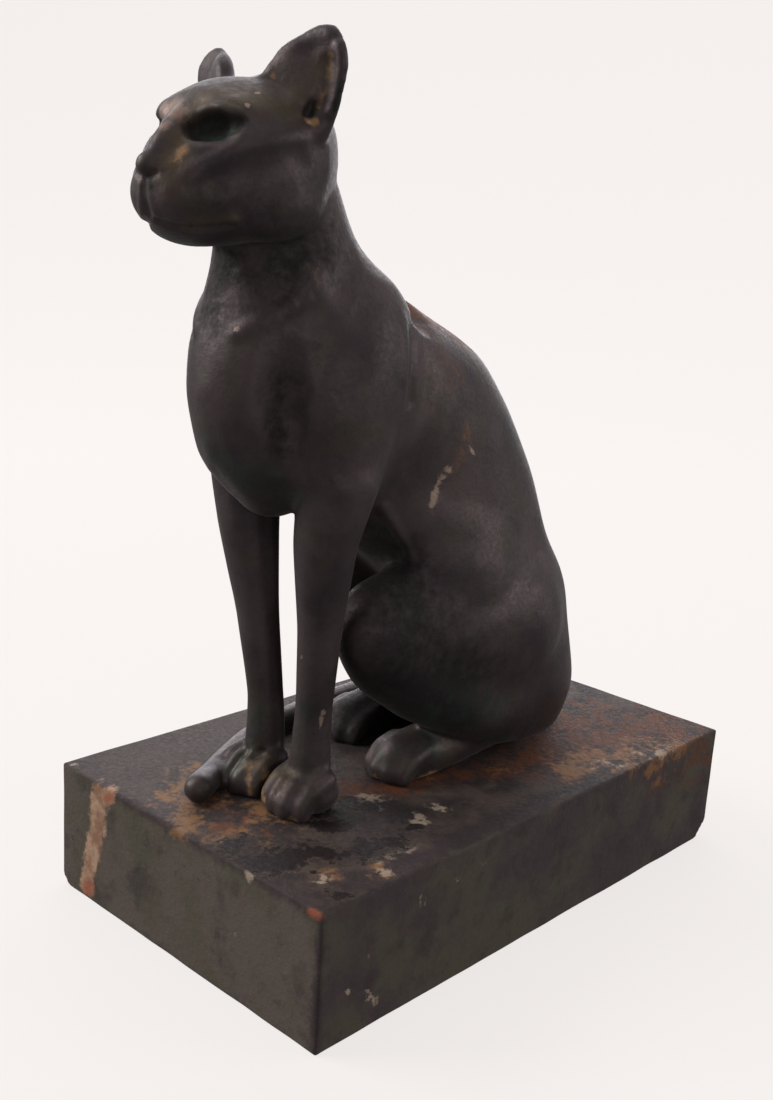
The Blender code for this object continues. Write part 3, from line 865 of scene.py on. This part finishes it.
# %% Dust and rust on the block
stain(block_mesh, "ochre_dust", [
    (on_top((-22, -97), (-16, -94), (-4, -97), (-2, -103)), 9.0, 0.9),
    (on_top((-6, -82), (1, -79), (9, -75), (20, -78)), 9.0, 0.9),
    (on_top((9, -79), (16, -95), (14, -101)), 7.0, 0.75),
    (on_top((22, -92), (27, -91)), 5.0, 0.9),
    (on_top((-34, -77), (-22, -88)), 8.0, 0.7),
    (on_top((54, -74), (58, -78)), 5.0, 0.7),
    (on_top((45, -90), (50, -88)), 6.0, 0.7),
    (on_top((50, 30), (55, 52), (58, 62), (60, 76)), 15.0, 0.85),
    (on_top((24, -18)), 5.0, 0.7),
    (on_top((33, 6), (38, 16)), 5.0, 0.7),
    (on_top((43, 36), (44, 46)), 8.0, 0.7),
], block_place)
stain(block_mesh, "rust", [
    (on_top((13, -41), (21, -31), (23, -17), (29, -4), (36, 14), (41, 35)), 9.0, 1.0),
    (on_top((36, 30), (42, 52), (46, 74), (50, 96)), 26.0, 0.95),
    (on_top((26, 50), (22, 84)), 16.0, 0.85),
    (on_top((20, -86), (8, -90), (-6, -84)), 12.0, 0.6),
    (on_top((14, -60), (18, -40)), 8.0, 0.6),
], block_place)

# %% Pale flecks
stain(block_mesh, "pale", [
    (on_top((22, -46), (27, -44)), 7.0, 0.8),
    (on_top((25, -43)), 2.0, 1.0),
    (on_top((38, -41), (44, -44)), 3.5, 0.7),
    (on_top((39, -33), (42, -31)), 3.5, 0.7),
    (on_top((36, -104), (38, -98), (44, -97)), 3.0, 0.8),
    (on_top((42, -92), (44, -84), (48, -78), (53, -70), (52, -60)), 4.0, 0.65),
    (on_top((16, -106), (14, -100)), 3.0, 0.6),
    (on_top((50, -92), (51, -95)), 2.2, 0.8),
    (on_top((58, -78), (60, -74)), 3.0, 0.6),
    (on_top((54, 40), (57, 46)), 6.0, 0.65),
    (on_top((60, 62), (62, 72)), 5.0, 0.6),
    (on_top((-62, -105), (-60, -104)), 3.0, 0.8),
    (on_front((29, 21)), 1.2, 0.8),
    (on_front((34, 44)), 2.5, 0.7),
    (on_side((-64, 32), (-64, 37)), 1.6, 0.8),
    (on_side((-36, 36)), 1.4, 0.9),
    (on_side((-95, 16)), 1.4, 0.9),
    (on_side((-87, 25)), 1.2, 0.8),
    (on_side((-84, 8), (-87, 13)), 2.0, 0.8),
    (on_side((-48, 35)), 1.4, 0.6),
    (on_side((-25, 22)), 1.2, 0.6),
], block_place)

# %% Which points are top and front
FACE_RIM = 0.5  # in mm, where the tone of a face fades in
top_face = np.clip((block_place[:, 2] - (TOP - FACE_RIM)) / FACE_RIM, 0.0, 1.0)
# The front face is given painted light: a lighter tone than the sides, as if lit more.
painted_light_front = np.clip((FRONT + FACE_RIM - block_place[:, 1]) / FACE_RIM, 0.0, 1.0)
for name, strength in (("top_face", top_face), ("painted_light_front", painted_light_front * (1 - top_face))):
    field = block_mesh.attributes.new(name, "FLOAT", "POINT")
    field.data.foreach_set("value", strength)
print("block fields", [item.name for item in block_mesh.attributes if item.data_type == "FLOAT"])

# %% [markdown]
# ## Dark stained wood
# Close-grained hardwood, sawn and planed, stained near black. Handling and water have turned
# its sides a grey, slightly green brown, dull and a little mottled, and its top is darker and
# crumbly. The fibres run along the board. Real ones are finer than can be seen from here, so
# they are drawn 1.6 mm wide.

# %% Ground colours of the wood
FIBRE_PATTERN = {"fibre": (1.6, 5.0, 0.6)}
FIBRE_SCALE = (1.0, 0.15, 1.0)
WOOD_PATTERNS = {
    # size in mm, detail, roughness
    "speck": (1.6, 6.0, 0.7),
    "edge": (5.0, 8.0, 0.7),
    "wide": (24.0, 6.0, 0.6),
    "blotch": (7.0, 8.0, 0.75),
    "green": (24.0, 4.0, 0.55),
    "dark": (13.0, 5.0, 0.6),
    "crumb": (14.0, 8.0, 0.68),
}
wood, tree = new_material("dark_stained_hardwood_planed_worn")
spot = add_node(tree, "TexCoord", {}, {}).outputs["Object"]
along = add_node(tree, "Mapping", {}, {"Vector": spot, "Scale": FIBRE_SCALE}).outputs[0]
pattern = noise_patterns(tree, along, FIBRE_PATTERN) | noise_patterns(tree, spot, WOOD_PATTERNS)
top_share = add_node(tree, "Attribute", {"attribute_name": "top_face"}, {}).outputs["Fac"]
painted_light_front_share = add_node(tree, "Attribute", {"attribute_name": "painted_light_front"}, {}).outputs["Fac"]
tone = mottle(tree, ink("#3d3335"), pattern["wide"], 0.35, 0.65, 1.0, "#483e3b")
# painted light: the front face is made lighter than the sides, as if lit more
tone = add_node(tree, "Mix", COLOURS, {0: painted_light_front_share, 6: tone, 7: ink("#544b45")}).outputs[2]
tone = mottle(tree, tone, pattern["green"], 0.42, 0.62, 0.8, "#484638")
tone = mottle(tree, tone, pattern["dark"], 0.5, 0.68, 0.55, "#2e2628")
crumbs = mottle(tree, ink("#2a2324"), pattern["crumb"], 0.4, 0.66, 1.0, "#483d38")
# grey bloom, and a painted pool of light over the half of the top on the cat's right
grey = broken_field(tree, "grey_bloom_and_painted_light", pattern["edge"], 0.5, 0.5)
crumbs = add_node(tree, "Mix", COLOURS, {0: grey, 6: crumbs, 7: ink("#443a38")}).outputs[2]
tone = add_node(tree, "Mix", COLOURS, {0: top_share, 6: tone, 7: crumbs}).outputs[2]
tone = mottle(tree, tone, pattern["edge"], 0.55, 0.72, 0.6, "#29232a")
tone = mottle(tree, tone, pattern["speck"], 0.6, 0.74, 0.4, "#6c5f53")
print("wood's ground", len(tree.nodes), "nodes")

# %% Stains on the wood
blotch = add_node(tree, "MapRange", SMOOTH, {
    "Value": pattern["blotch"], "From Min": 0.36, "From Max": 0.64,
}).outputs[0]
bare_wood = mottle(tree, ink("#86644f"), pattern["edge"], 0.36, 0.62, 1.0, "#aa8d76")
WOOD_STAINS = [
    # name, colour, what breaks its edge, threshold, softness, most
    ("mauve", ink("#30262a"), pattern["edge"], 0.45, 0.4, 0.9),
    ("rust", ink("#5a3119"), blotch, 0.5, 0.55, 0.9),
    ("ochre_dust", ink("#84603f"), blotch, 0.66, 0.5, 0.75),
    ("pale", ink("#998a7a"), blotch, 0.62, 0.25, 0.85),
    ("chip", bare_wood, pattern["edge"], 0.38, 0.16, 0.95),
    ("red_filler", ink("#8f4f38"), pattern["edge"], 0.5, 0.3, 0.85),
    # the crust's pale margin, then the crust itself
    ("crust", ink("#64554b"), blotch, 0.3, 0.25, 0.5),
    ("crust", ink("#1b1113"), blotch, 0.5, 0.2, 1.0),
]
masks = {}
for name, colour, breaker, threshold, softness, most in WOOD_STAINS:
    mask = broken_field(tree, name, breaker, threshold, softness)
    mask = add_node(tree, "Math", PRODUCT, {0: mask, 1: most}).outputs[0]
    if name == "crust":
        # It lies on the top alone, and its edge doesn't run down the sides.
        mask = add_node(tree, "Math", PRODUCT, {0: mask, 1: top_share}).outputs[0]
    tone = add_node(tree, "Mix", COLOURS, {0: mask, 6: tone, 7: colour}).outputs[2]
    masks[name] = mask
print("wood stains", list(masks))

# %% Dullness and grain of the wood
WOOD_ROUGHNESS = (0.6, 0.85)
CRUST_ROUGHNESS = -0.1
HEIGHTS = [
    # what is raised, or sunk, over the specks, and by how much
    (pattern["edge"], 2.0),
    (pattern["fibre"], 0.25),
    (masks["crust"], -1.2),
]
WOOD_GRAIN = 0.3 * MM
rough = add_node(tree, "MapRange", SMOOTH, {
    "Value": pattern["speck"],
    "From Min": NOISE_LOW,
    "From Max": NOISE_HIGH,
    "To Min": WOOD_ROUGHNESS[0],
    "To Max": WOOD_ROUGHNESS[1],
}).outputs[0]
rough = add_node(
    tree, "Math", WEIGHTED_SUM, {0: masks["crust"], 1: CRUST_ROUGHNESS, 2: rough}
).outputs[0]
height = pattern["speck"]
for layer, weight in HEIGHTS:
    height = add_node(tree, "Math", WEIGHTED_SUM, {0: layer, 1: weight, 2: height}).outputs[0]
bump = add_node(tree, "Bump", {}, {"Strength": 0.8, "Distance": WOOD_GRAIN, "Height": height})
shader = add_node(tree, "BsdfPrincipled", {}, {
    "Base Color": tone,
    "Roughness": rough,
    "Specular IOR Level": 0.3,
    "Normal": bump.outputs[0],
})
add_node(tree, "OutputMaterial", {}, {"Surface": shader.outputs[0]})
print("wood", len(tree.nodes), "nodes")

# %% Set the block in place
block_mesh.shade_smooth()
block_mesh.materials.append(wood)
block = bpy.data.objects.new("worn_block", block_mesh)
bpy.context.scene.collection.objects.link(block)
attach(block, "root")
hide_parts("plinth")
print("block", np.ptp(read_points(block_mesh), axis=0).round(4), "m")
